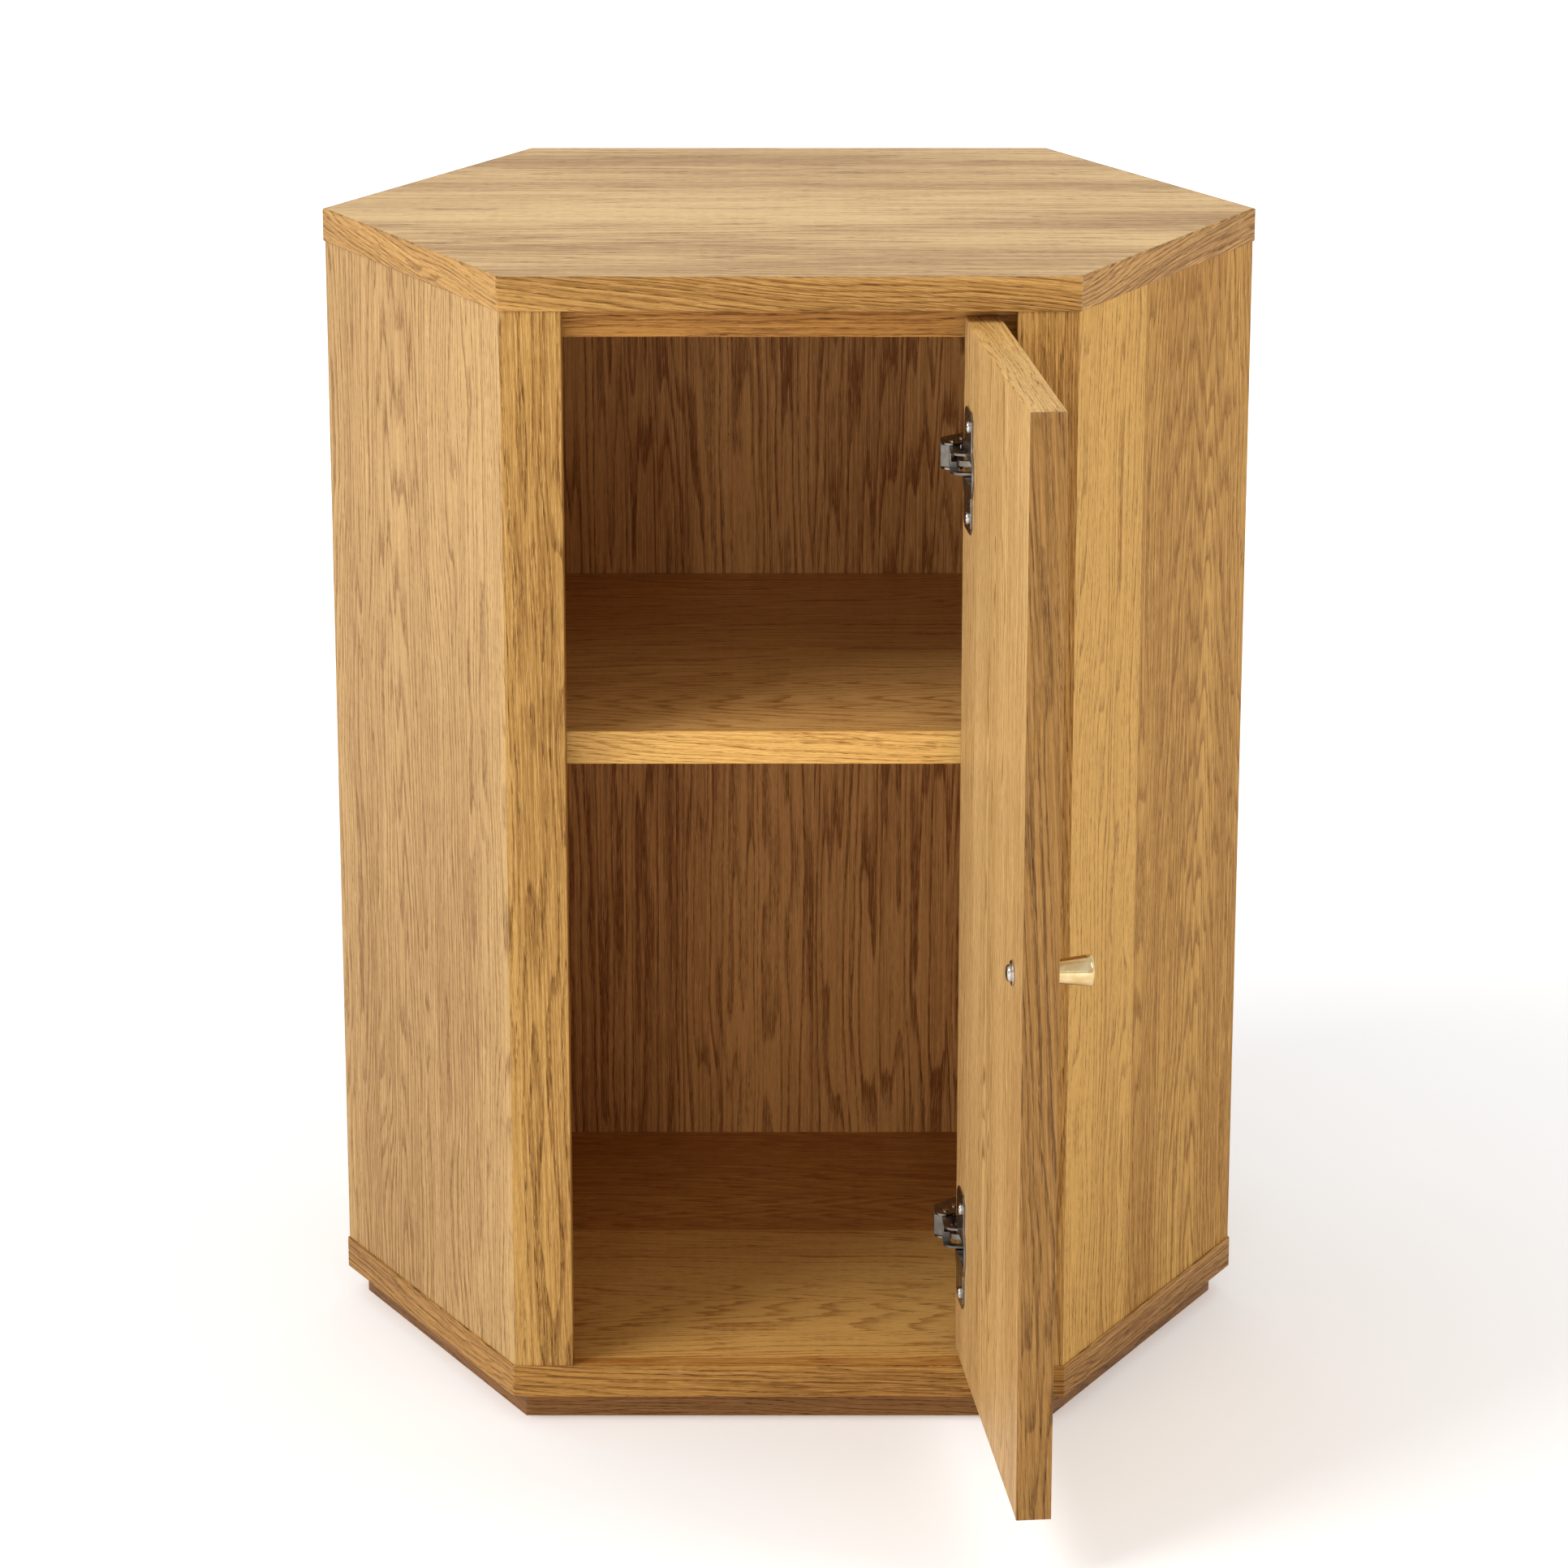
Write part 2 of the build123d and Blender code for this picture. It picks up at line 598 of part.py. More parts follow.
def arm_screws(height):
    """Fixing and adjusting screws through the arm into the plate."""
    places = [(JAMB + ARM_FACE, FRONT_FACE + depth, height) for depth in ARM_SCREW_DEPTHS]
    seats = [Plane(origin=place, z_dir=(-1, 0, 0)) for place in places]
    return [screw(seat, *ARM_SCREW_HEAD, *ARM_SCREW_SHANK) for seat in seats]


PLATE_LENGTH = 42
PLATE_SHEET = 2.5
PLATE_BOSS = 4.3  # height of the boss that the arm rides on, above the sheet
PLATE_MIDDLE = 7  # middle of the plate behind its wood screws


def plate(height):
    """Cross-shaped mounting plate with a boss that the arm rides on."""
    middle = (JAMB, FRONT_FACE + PLATE_SCREW_DEPTH + PLATE_MIDDLE, height)
    side = Plane(origin=middle, x_dir=(0, 1, 0), z_dir=(-1, 0, 0))
    with BuildPart() as made:
        with BuildSketch(side):
            RectangleRounded(PLATE_LENGTH, 17, 2)
            with Locations((-PLATE_MIDDLE, 0)):
                RectangleRounded(13, 50, 5)
        extrude(amount=PLATE_SHEET)
        with BuildSketch(side.offset(PLATE_SHEET)):
            RectangleRounded(PLATE_LENGTH, 11.4, 1)
        extrude(amount=PLATE_BOSS)
        rim = made.faces().sort_by(Axis.X)[0].edges()
        chamfer(rim, length=0.5)
        for depth in ARM_SCREW_DEPTHS:
            with BuildSketch(Plane(origin=(JAMB - 7, FRONT_FACE + depth, height), z_dir=(1, 0, 0))):
                Circle(ARM_SCREW_SHANK[0] + CUP_GAP)
            extrude(amount=6, mode=Mode.SUBTRACT)
        with BuildSketch(side):
            with Locations((-PLATE_MIDDLE, PLATE_SCREW_RISE), (-PLATE_MIDDLE, -PLATE_SCREW_RISE)):
                Circle(2)
        extrude(amount=PLATE_SHEET, mode=Mode.SUBTRACT)
    return made.part


def plate_screws(height):
    """Two wood screws holding the plate to the block."""
    depth = FRONT_FACE + PLATE_SCREW_DEPTH
    seats = [
        Plane(origin=(JAMB - PLATE_SHEET, depth, height + rise), z_dir=(-1, 0, 0))
        for rise in (-PLATE_SCREW_RISE, PLATE_SCREW_RISE)
    ]
    return [screw(seat, *WOOD_SCREW_HEAD, WOOD_SCREW_RADIUS, PLATE_SCREW_LENGTH) for seat in seats]


def cup_screws(height):
    """Two wood screws holding the flange to the door."""
    seats = [
        on_door(CUP_SCREW_ALONG, BOARD + FLANGE, height + rise)
        for rise in (-CUP_SCREW_RISE, CUP_SCREW_RISE)
    ]
    return [screw(seat, *WOOD_SCREW_HEAD, WOOD_SCREW_RADIUS, CUP_SCREW_LENGTH) for seat in seats]


OUTER_CHEEKS = (4.5, 5.7)  # inner and outer height of the outer link's two cheeks
OUTER_PLAY = 0.8  # sideways play of each link's slot on its pin in the arm
INNER_HALF = 1.4
SLIT = 1.8  # half height of the slit in the outer link's web that the inner link passes through
INNER_PLAY = 0.4
SLOT_END_PLAY = 0.3
OUTER_STRIP = 4  # width of the outer link's bent strip in plan
INNER_STRIP = 1.9
OUTER_WALL = 1.2  # metal left round a slot
INNER_WALL = 1.1
OUTER_BEND = (-31.4, 9.4)
INNER_BEND = (-29.6, 10.6)


def slot_on_pin(pin, cup_pin):
    """Place and length of a link's slot over its pin in the arm, for the door's whole swing."""
    places = [Vector(*shut_to_open(*cup_pin, swing)) for swing in range(0, WIDEST + 1)]
    fixed = Vector(*pin)
    reach = [(place - fixed).length for place in places]
    link = places[SWING] - fixed
    middle = fixed + link.normalized() * (link.length - (max(reach) + min(reach)) / 2)
    length = max(reach) - min(reach) + 2 * PIN_RADIUS + SLOT_END_PLAY
    return Location(middle, degrees(atan2(link.Y, link.X))), length


WEB_FRONT = [(-38, 28.5), (-28.5, 22.3)]  # front face of the outer link's web
LINK_HEAD = WEB_FRONT + [(-29, 30), (-33, 35), (-37.4, 30.4)]
BEHIND_WEB = [(-45, 34.5), (-37.3, 29.5), (-27.8, 23.3), (-20, 18.2), (-20, 60), (-45, 60)]
BELOW_WEB = [(-50, 21.4), (-50, -10), (0, -10), (0, 21.4)]
BEFORE_INNER_LINK = [(-33, 21), (0, 0), (0, 60), (-33, 60)]


def cut_through(outline, height, half):
    """Prism of an outline standing equally above and below a height."""
    with BuildPart() as prism:
        with BuildSketch(beside(0, 0, height - half)):
            with BuildLine():
                Polyline(*outline, close=True)
            make_face()
        extrude(amount=2 * half)
    return prism.part


def outer_link(height):
    """Bent link: two cheeks joined by a web that faces the front when the door is open."""
    cup_pin = shut_to_open(*OUTER_CUP_PIN)
    spot, length = slot_on_pin(OUTER_PIN, OUTER_CUP_PIN)
    width = 2 * (PIN_RADIUS + OUTER_PLAY)
    hollows = [
        cut_through(BEHIND_WEB, height, OUTER_CHEEKS[0]),
        cut_through(BELOW_WEB, height, OUTER_CHEEKS[0]),
        cut_through(BEFORE_INNER_LINK, height, SLIT),
    ]
    with BuildPart() as made:
        with BuildSketch(beside(0, 0, height - OUTER_CHEEKS[1])):
            with BuildLine():
                FilletPolyline(OUTER_PIN, OUTER_BEND, cup_pin, radius=4)
            trace(line_width=OUTER_STRIP)
            with Locations(spot):
                SlotOverall(length + 2 * OUTER_WALL, width + 2 * OUTER_WALL)
            with Locations(cup_pin):
                Circle(PIN_RADIUS + OUTER_WALL + CLEARANCE)
            with BuildLine():
                Polyline(*LINK_HEAD, close=True)
            make_face()
        extrude(amount=2 * OUTER_CHEEKS[1])
        add(hollows, mode=Mode.SUBTRACT)
        with BuildSketch(beside(0, 0, height - OUTER_CHEEKS[1])):
            with Locations(spot):
                SlotOverall(length, width)
            with Locations(cup_pin):
                Circle(PIN_RADIUS + RUNNING_GAP)
        extrude(amount=2 * OUTER_CHEEKS[1], mode=Mode.SUBTRACT)
    return made.part


def inner_link(height):
    """Narrow bent link between the outer link's cheeks."""
    cup_pin = shut_to_open(*INNER_CUP_PIN)
    spot, length = slot_on_pin(INNER_PIN, INNER_CUP_PIN)
    width = 2 * (PIN_RADIUS + INNER_PLAY)
    with BuildPart() as made:
        with BuildSketch(beside(0, 0, height - INNER_HALF)):
            with BuildLine():
                FilletPolyline(INNER_PIN, INNER_BEND, cup_pin, radius=3)
            trace(line_width=INNER_STRIP)
            with Locations(spot):
                SlotOverall(length + 2 * INNER_WALL, width + 2 * INNER_WALL)
            with Locations(cup_pin):
                Circle(PIN_RADIUS + INNER_WALL)
        extrude(amount=2 * INNER_HALF)
        with BuildSketch(beside(0, 0, height - INNER_HALF)):
            with Locations(spot):
                SlotOverall(length, width)
            with Locations(cup_pin):
                Circle(PIN_RADIUS + RUNNING_GAP)
        extrude(amount=2 * INNER_HALF, mode=Mode.SUBTRACT)
    return made.part


HINGE_PIECES = {
    "cup": cup,
    "cup_pins": cup_pins,
    "cup_screws": cup_screws,
    "arm": arm,
    "arm_pins": arm_pins,
    "arm_screws": arm_screws,
    "plate": plate,
    "plate_screws": plate_screws,
    "outer_link": outer_link,
    "inner_link": inner_link,
}
for place, height in HINGE_HEIGHTS.items():
    for name, make in HINGE_PIECES.items():
        shape = make(height)
        with BuildPart() as piece:
            add(shape)
        save(f"{place}_{name}", piece)
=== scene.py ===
from math import cos, radians, sin

import bmesh
import bpy
from mathutils import Matrix, Vector


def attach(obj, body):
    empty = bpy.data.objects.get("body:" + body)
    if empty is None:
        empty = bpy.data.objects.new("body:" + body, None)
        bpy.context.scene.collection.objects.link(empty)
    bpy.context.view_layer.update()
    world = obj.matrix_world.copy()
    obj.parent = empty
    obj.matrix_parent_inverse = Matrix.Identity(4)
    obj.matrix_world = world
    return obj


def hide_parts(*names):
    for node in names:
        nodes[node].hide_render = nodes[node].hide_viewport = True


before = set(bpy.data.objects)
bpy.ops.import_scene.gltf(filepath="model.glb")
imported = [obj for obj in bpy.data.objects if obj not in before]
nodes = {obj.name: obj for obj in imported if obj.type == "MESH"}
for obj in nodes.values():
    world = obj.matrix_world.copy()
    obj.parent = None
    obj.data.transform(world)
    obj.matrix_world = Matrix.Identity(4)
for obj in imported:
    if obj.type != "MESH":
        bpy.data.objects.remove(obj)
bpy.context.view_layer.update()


# ---- Floor, light and camera ----
# A plain white studio floor that the cabinet stands on, lit by a large soft box high on the
# left, a weaker one on the right and a small one at the front, with pale light all round.
FLOOR_HALF = 12.0
FLOOR_WHITE = (0.93, 0.93, 0.93, 1)
FLOOR_GLOW_NEAR = 0.16
FLOOR_GLOW_FAR = 0.5
GLOW_REACH = (0.3, 2.0)  # where the glow starts and stops growing, in metres
SURROUND = 0.72
CAMERA_PLACE = (-0.0027, -2.877, 1.163)
CAMERA_PITCH = 16.605
CAMERA_LENS = 122.7
SENSOR_WIDTH = 36
AIM = Vector((0, 0, 0.32))


def linear(red, green, blue):
    """A colour given as screen values from 0 to 255, for a shader's socket."""
    shares = (channel / 255 for channel in (red, green, blue))
    return (*(s / 12.92 if s <= 0.04045 else ((s + 0.055) / 1.055) ** 2.4 for s in shares), 1)


def show(name, mesh):
    """A new object at the origin for a finished mesh."""
    piece = bpy.data.objects.new(name, mesh)
    bpy.context.scene.collection.objects.link(piece)
    return piece


class Wire:
    """One value in a finish. Sums written on it add their own Math nodes."""

    def __init__(self, finish, socket):
        self.finish = finish
        self.socket = socket

    def sum(self, operation, first, second):
        return self.finish.add("ShaderNodeMath", {"operation": operation}, {0: first, 1: second})

    def __add__(self, other):
        return self.sum("ADD", self, other)

    def __radd__(self, other):
        return self.sum("ADD", other, self)

    def __sub__(self, other):
        return self.sum("SUBTRACT", self, other)

    def __rsub__(self, other):
        return self.sum("SUBTRACT", other, self)

    def __mul__(self, other):
        return self.sum("MULTIPLY", self, other)

    def __rmul__(self, other):
        return self.sum("MULTIPLY", other, self)

    def __truediv__(self, other):
        return self.sum("DIVIDE", self, other)

    def __rtruediv__(self, other):
        return self.sum("DIVIDE", other, self)

    def __pow__(self, other):
        return self.sum("POWER", self, other)


class Finish:
    """A material, and the one way that its nodes are added."""

    def __init__(self, name, roughness=0.5):
        self.material = bpy.data.materials.new(name)
        self.material.use_nodes = True
        self.tree = self.material.node_tree
        self.shader = self.tree.nodes["Principled BSDF"]
        self.shader.inputs["Roughness"].default_value = roughness

    def add(self, kind, settings=None, values=None, output=0):
        node = self.tree.nodes.new(kind)
        for name, value in (settings or {}).items():
            setattr(node, name, value)
        for name, value in (values or {}).items():
            self.put(node.inputs[name], value)
        return Wire(self, node.outputs[output])

    def put(self, socket, value):
        if isinstance(value, Wire):
            self.tree.links.new(value.socket, socket)
        else:
            socket.default_value = value

    def part(self, operation, value):
        return self.add("ShaderNodeMath", {"operation": operation}, {0: value})

    def ease(self, value, low, high):
        """0 below low, 1 above high and a smooth step between them."""
        settings = {"interpolation_type": "SMOOTHSTEP"}
        return self.add("ShaderNodeMapRange", settings, {0: value, 1: low, 2: high})

    def grainy(self, place, stretch, start, detail):
        """Noise over a place in millimetres, with stretch cycles to a millimetre each way."""
        offset = (start, start * 0.37, start * 0.71)
        values = {0: place, 1: stretch, 2: offset}
        spread = self.add("ShaderNodeVectorMath", {"operation": "MULTIPLY_ADD"}, values)
        return self.add("ShaderNodeTexNoise", {}, {"Vector": spread, "Scale": 1.0, "Detail": detail})

    def blend(self, share, first, second):
        settings = {"data_type": "RGBA"}
        return self.add("ShaderNodeMix", settings, {0: share, 6: first, 7: second}, 2)

    def triple(self, x, y, z):
        return self.add("ShaderNodeCombineXYZ", {}, {0: x, 1: y, 2: z})

    def split(self, vector):
        node = self.add("ShaderNodeSeparateXYZ", {}, {0: vector}).socket.node
        return [Wire(self, socket) for socket in node.outputs]


form = bmesh.new()
bmesh.ops.create_grid(form, x_segments=2, y_segments=2, size=FLOOR_HALF)
floor_mesh = bpy.data.meshes.new("studio_floor")
form.to_mesh(floor_mesh)
form.free()
floor = show("studio_floor", floor_mesh)
studio_white = Finish("studio_white", 0.9)
# The floor also glows: painted light that keeps it white, weaker near the cabinet and stronger away from
# it, so the floor round the cabinet stays darker.
here = studio_white.add("ShaderNodeTexCoord", output="Object")
distance = studio_white.add("ShaderNodeVectorMath", {"operation": "LENGTH"}, {0: here}, "Value")
glow_share = studio_white.ease(distance, *GLOW_REACH)
glow = FLOOR_GLOW_NEAR + glow_share * (FLOOR_GLOW_FAR - FLOOR_GLOW_NEAR)
glow_colour = studio_white.triple(glow, glow, glow)
studio_white.put(studio_white.shader.inputs["Emission Color"], glow_colour)
studio_white.shader.inputs["Base Color"].default_value = FLOOR_WHITE
studio_white.shader.inputs["Specular IOR Level"].default_value = 0.1
studio_white.shader.inputs["Emission Strength"].default_value = 1.0
floor_mesh.materials.append(studio_white.material)


def soft_box(name, place, width, height, power):
    """A rectangular studio light turned to the middle of the cabinet."""
    lamp = bpy.data.lights.new(name, "AREA")
    lamp.shape = "RECTANGLE"
    lamp.size = width
    lamp.size_y = height
    lamp.energy = power
    light = bpy.data.objects.new(name, lamp)
    light.location = place
    light.rotation_euler = (AIM - Vector(place)).to_track_quat("-Z", "Y").to_euler()
    bpy.context.scene.collection.objects.link(light)


soft_box("left_soft_box", (-2.5, -1.9, 3.2), 1.7, 1.7, 78)
soft_box("right_soft_box", (2.4, -1.0, 2.1), 1.2, 1.6, 18)
soft_box("front_soft_box", (-0.5, -3.4, 0.9), 1.0, 0.8, 9)

sky = bpy.data.worlds.new("pale_surround")
sky.use_nodes = True
sky.node_tree.nodes["Background"].inputs["Color"].default_value = (1, 1, 1, 1)
sky.node_tree.nodes["Background"].inputs["Strength"].default_value = SURROUND
bpy.context.scene.world = sky
bpy.context.scene.view_settings.view_transform = "Standard"

lens = bpy.data.cameras.new("studio_camera")
lens.lens = CAMERA_LENS
lens.sensor_width = SENSOR_WIDTH
camera = bpy.data.objects.new("studio_camera", lens)
camera.location = CAMERA_PLACE
camera.rotation_euler = (radians(90 - CAMERA_PITCH), 0, 0)
bpy.context.scene.collection.objects.link(camera)
bpy.context.scene.camera = camera


# ---- Plinth ----
# Six mitred oak boards set back under the base, with a brace across the middle and glue
# blocks in the corners. They are solid oak with a clear satin lacquer.
MILLIMETRES = 1000.0  # to a metre


def board_place(finish, grain, face):
    """Millimetres along the grain, across it and through the board."""
    along = Vector(grain).normalized()
    through = Vector(face).normalized()
    turn = Matrix((along, through.cross(along), through)).to_euler()
    here = finish.add("ShaderNodeTexCoord", output="Object")
    values = {"Vector": here, "Rotation": turn, "Scale": [MILLIMETRES] * 3}
    return finish.add("ShaderNodeMapping", {"vector_type": "POINT"}, values)


# How fast each feature of the wood changes: cycles to a millimetre along, across, through
SWAY = (0.0035, 0.012, 0.012)
RIPPLE = (0.02, 0.06, 0.06)
RING_WOBBLE = (0.0015, 0.09, 0.09)
FINE_SLOTS = (0.2, 4.6, 4.6)
FLECKS = (0.06, 2.4, 2.4)
FIBRE = (0.02, 3.0, 3.0)
STREAKS = (0.0025, 0.9, 0.9)
CLOUDS = (0.002, 0.02, 0.02)
SLOT_RATE = 0.13  # open pores along the grain
SLOT_RATE_ACROSS = 2.6
SWAY_REACH = 46.0  # how far the growth rings wander, in millimetres
RIPPLE_REACH = 4.0
WOBBLE_REACH = 5.0  # in rings
PORE_DARKNESS = (0.36, 0.28, 0.2)  # of the deep colour's red, green and blue
SMALL_PORE_SHARE = 0.7
FLECK_SHARE = 0.5
TONE_REACH = (0.04, 0.96)  # tones that give the pale and the deep colour
RELIEF = 0.0002


def leaf_place(finish, across, leaf, slip):
    """Place across one leaf of veneer, every second leaf turned over, and which leaves are."""
    count = finish.part("FLOOR", (across + slip) / leaf)
    turn = finish.add("ShaderNodeMath", {"operation": "MODULO"}, {0: count, 1: 2.0})
    odd = finish.part("ABSOLUTE", turn)
    return (across + slip - (count + 0.5) * leaf) * (1.0 - 2.0 * odd), odd


def growth_rings(finish, place, sideways, height, ring, start):
    """Where the open early wood lies, and a chance tone for each ring round the heart."""
    radius = (sideways * sideways + height * height) ** 0.5
    wobble = (finish.grainy(place, RING_WOBBLE, start + 5.7, 1.0) - 0.5) * WOBBLE_REACH
    rings = radius / ring + wobble
    phase = finish.part("FRACT", rings)
    early = finish.ease(phase, 0.0, 0.1) * (1.0 - finish.ease(phase, 0.12, 0.6))
    year = finish.part("FLOOR", rings)
    settings = {"noise_dimensions": "1D"}
    return early, finish.add("ShaderNodeTexWhiteNoise", settings, {"W": year}, "Value")


def pore_slots(finish, place, early, coarse, start):
    """Short dark slots along the grain, most of them in the early wood: large and small."""
    slot_rates = (SLOT_RATE / coarse, SLOT_RATE_ACROSS / coarse, SLOT_RATE_ACROSS)
    slots = finish.grainy(place, slot_rates, start + 9.3, 1.0)
    fine_slots = finish.grainy(place, FINE_SLOTS, start + 12.9, 1.0)
    open_pores = finish.ease(slots, 0.56, 0.63) * (0.2 + 0.8 * early)
    small_pores = finish.ease(fine_slots, 0.55, 0.64) * (0.5 + 0.5 * early)
    return open_pores, small_pores


def oak(name, grain, face, pale, deep, start, place=None, leaf=400.0, slip=200.0,
        hearts=(260.0, 260.0), lift=0.0, under=14.0, taper=0.0, centre=0.0, ring=3.4, bands=0.4,
        pores=0.72, coarse=1.0, tones=0.35, slope=0.0, gloss=0.45, sheen=0.12, far_side=None):
    """Lacquered oak: growth rings, dark open pores, fine fibre and slow changes of tone.

    Lengths are in millimetres. hearts are the places of the tree's middle across a leaf and
    across a turned one, under is its depth below the face and taper how that changes along
    the board from centre. far_side is a depth and the two colours of the veneer beyond it.
    """
    finish = Finish(name)
    place = place(finish) if place else board_place(finish, grain, face)
    if slope:
        along, across, through = finish.split(place)
        place = finish.triple(along, across + along * slope, through)
    along, across, through = finish.split(place)

    local, odd = leaf_place(finish, across, leaf, slip)
    sway = finish.grainy(place, SWAY, start, 2.0) - 0.5
    ripple = finish.grainy(place, RIPPLE, start + 3.1, 2.0) - 0.5
    heart = hearts[0] + odd * (hearts[1] - hearts[0])
    sideways = local - heart + sway * SWAY_REACH + ripple * RIPPLE_REACH
    height = under + (along - centre) * taper
    early, ring_tone = growth_rings(finish, place, sideways, height, ring, start)
    open_pores, small_pores = pore_slots(finish, place, early, coarse, start)
    flecks = finish.ease(finish.grainy(place, FLECKS, start + 15.1, 1.0), 0.55, 0.66)
    fibre = finish.grainy(place, FIBRE, start + 17.5, 3.0)
    streak = finish.grainy(place, STREAKS, start + 21.1, 3.0)
    cloud = finish.grainy(place, CLOUDS, start + 26.3, 2.0)

    tone = (
        0.5
        + (early * (0.4 + 0.6 * ring_tone) - 0.25) * bands
        + (fibre - 0.5)
        + (streak - 0.5) * 1.1
        + (cloud - 0.5) * (3.0 * tones)
        + (0.5 - odd) * lift
    )
    near_pale, near_deep = pale, deep
    if far_side:
        depth, far_pale, far_deep = far_side
        beyond = finish.add("ShaderNodeMath", {"operation": "GREATER_THAN"}, {0: through, 1: depth})
        near_pale = finish.blend(beyond, pale, far_pale)
        near_deep = finish.blend(beyond, deep, far_deep)
    wood = finish.blend(finish.ease(tone, *TONE_REACH), near_pale, near_deep)
    bright = tuple(min(channel * 1.18 + 0.03, 1.0) for channel in pale[:3]) + (1,)
    wood = finish.blend(flecks * FLECK_SHARE, wood, bright)
    dark = tuple(channel * share for channel, share in zip(deep[:3], PORE_DARKNESS)) + (1,)
    wood = finish.blend(open_pores * pores, wood, dark)
    wood = finish.blend(small_pores * (pores * SMALL_PORE_SHARE), wood, dark)
    finish.put(finish.shader.inputs["Base Color"], wood)

    dullness = gloss + open_pores * 0.2 + (fibre - 0.5) * 0.16
    finish.put(finish.shader.inputs["Roughness"], dullness)
    relief = (open_pores + small_pores * 0.6) * -0.5 + fibre * 0.35
    bump = finish.add("ShaderNodeBump", {}, {"Strength": 0.25, "Distance": RELIEF, "Height": relief})
    finish.put(finish.shader.inputs["Normal"], bump)
    finish.shader.inputs["Specular IOR Level"].default_value = sheen
    return finish.material


def dress(node, material):
    """Gives a piece of the frame its finish."""
    for slot in nodes[node].material_slots:
        slot.material = material


WALL_RUN = Vector((105, 192, 0)).normalized()  # front right side, from front to back
RUNS = {
    "front": Vector((1, 0, 0)),
    "front_right": WALL_RUN,
    "back_right": Vector((-WALL_RUN.x, WALL_RUN.y, 0)),
    "back": Vector((-1, 0, 0)),
    "back_left": Vector((-WALL_RUN.x, -WALL_RUN.y, 0)),
    "front_left": Vector((WALL_RUN.x, -WALL_RUN.y, 0)),
}
UP = Vector((0, 0, 1))


def outward(side):
    """The way one side of the cabinet faces."""
    return RUNS[side].cross(UP)


# The boards' colours are darker than the blocks' oak: painted shade under the overhanging base.
for number, side in enumerate(RUNS):
    dress(
        f"plinth_{side}",
        oak(f"plinth_oak_{side}", RUNS[side], outward(side), linear(146, 102, 56),
            linear(106, 71, 36), 41.0 + 7 * number, hearts=(120.0, 120.0), slope=0.03),
    )
block_oak = oak("block_oak", (1, 0, 0), (0, 0, 1), linear(206, 166, 112), linear(170, 126, 76), 97.0)
dress("plinth_brace", block_oak)
dress("plinth_blocks", block_oak)

# ---- Base board ----
# Veneered board that the walls stand on, with strips of thin solid oak glued round its edge.
# The veneer is laid in two leaves across the cabinet, the back one redder than the front.
dress(
    "base_panel",
    oak("base_veneer", (1, 0, 0), (0, 0, 1), linear(226, 177, 98), linear(178, 116, 50), 5.0,
        leaf=190.0, slip=180.0, hearts=(-22.0, 60.0), lift=-0.5, under=16.0, taper=0.15,
        centre=-90.0, ring=4.6, bands=0.6, gloss=0.36, sheen=0.3),
)


FRONT_EDGE = 190.2  # just inside the front and back edges of the boards, from their middle
LEFT_FROM_RIGHT = 610.0  # strips are cut this far apart in the plank, so that no two match
FRONT_FROM_BACK = 900.0
SLANTED_FRONT_FROM_BACK = 1370.0
STRAIGHT_STRIP_DEPTH = 7.0


def edge_place(finish):
    """Millimetres along each edge of a six-sided board, up it and through it."""
    here = finish.add("ShaderNodeTexCoord", output="Object")
    x, y, z = [axis * MILLIMETRES for axis in finish.split(here)]
    x_size, y_size = finish.part("ABSOLUTE", x), finish.part("ABSOLUTE", y)
    x_side, y_side = finish.part("SIGN", x), finish.part("SIGN", y)
    values = {0: y_size, 1: FRONT_EDGE}
    straight = finish.add("ShaderNodeMath", {"operation": "GREATER_THAN"}, values)
    slanted = y_size * WALL_RUN.y - x_size * WALL_RUN.x
    slanted = slanted + (x_side * LEFT_FROM_RIGHT + y_side * SLANTED_FRONT_FROM_BACK)
    front_run = x + y_side * FRONT_FROM_BACK
    along = slanted + (front_run - slanted) * straight
    return finish.triple(along, z, straight * STRAIGHT_STRIP_DEPTH)


dress(
    "base_edging",
    oak("base_edge_oak", None, None, linear(188, 138, 68), linear(118, 76, 30), 63.0,
        place=edge_place, hearts=(90.0, 90.0), ring=2.6, coarse=1.2, slope=0.02),
)

# ---- Walls ----
# Five veneered panels, mitred to each other, with the grain upright. The front right one
# shows a joint between a pale straight leaf and a browner one with an arched figure.
WALL_WOODS = {
    "front_right": dict(
        pale=linear(203, 156, 80), deep=linear(150, 102, 38), start=11.0, leaf=150.0, slip=135.0,
        hearts=(0.0, 190.0), lift=0.4, under=14.0, taper=0.1, centre=160.0, ring=3.6, bands=0.5,
        pores=0.8, coarse=0.85, sheen=0.07,
    ),
    "back_right": dict(
        pale=linear(198, 156, 92), deep=linear(156, 112, 54), start=19.0, leaf=150.0, slip=100.0,
        hearts=(180.0, 20.0), under=16.0, taper=0.08, centre=200.0, ring=5.0,
    ),
    # The back's inner face has lighter colours than its outer face beyond 182 mm: painted light inside
    # the cabinet.
    "back": dict(
        pale=linear(232, 172, 100), deep=linear(156, 98, 44), start=23.0, leaf=170.0, slip=155.0,
        hearts=(-110.0, 0.0), under=10.0, taper=0.12, centre=200.0, ring=7.5, bands=0.6,
        pores=0.6, coarse=1.2, far_side=(182.0, linear(206, 164, 104), linear(158, 114, 60)),
    ),
    "back_left": dict(
        pale=linear(198, 156, 92), deep=linear(156, 112, 54), start=29.0, leaf=170.0, slip=60.0,
        hearts=(20.0, 200.0), under=16.0, taper=0.08, centre=200.0, ring=5.0,
    ),
    "front_left": dict(
        pale=linear(200, 160, 102), deep=linear(148, 106, 54), start=37.0, leaf=130.0, slip=125.0,
        hearts=(170.0, 30.0), lift=-0.15, under=40.0, taper=0.06, centre=600.0, ring=3.4, bands=0.5,
    ),
}
for side, wood in WALL_WOODS.items():
    dress(f"{side}_panel", oak(f"{side}_veneer", UP, outward(side), **wood))

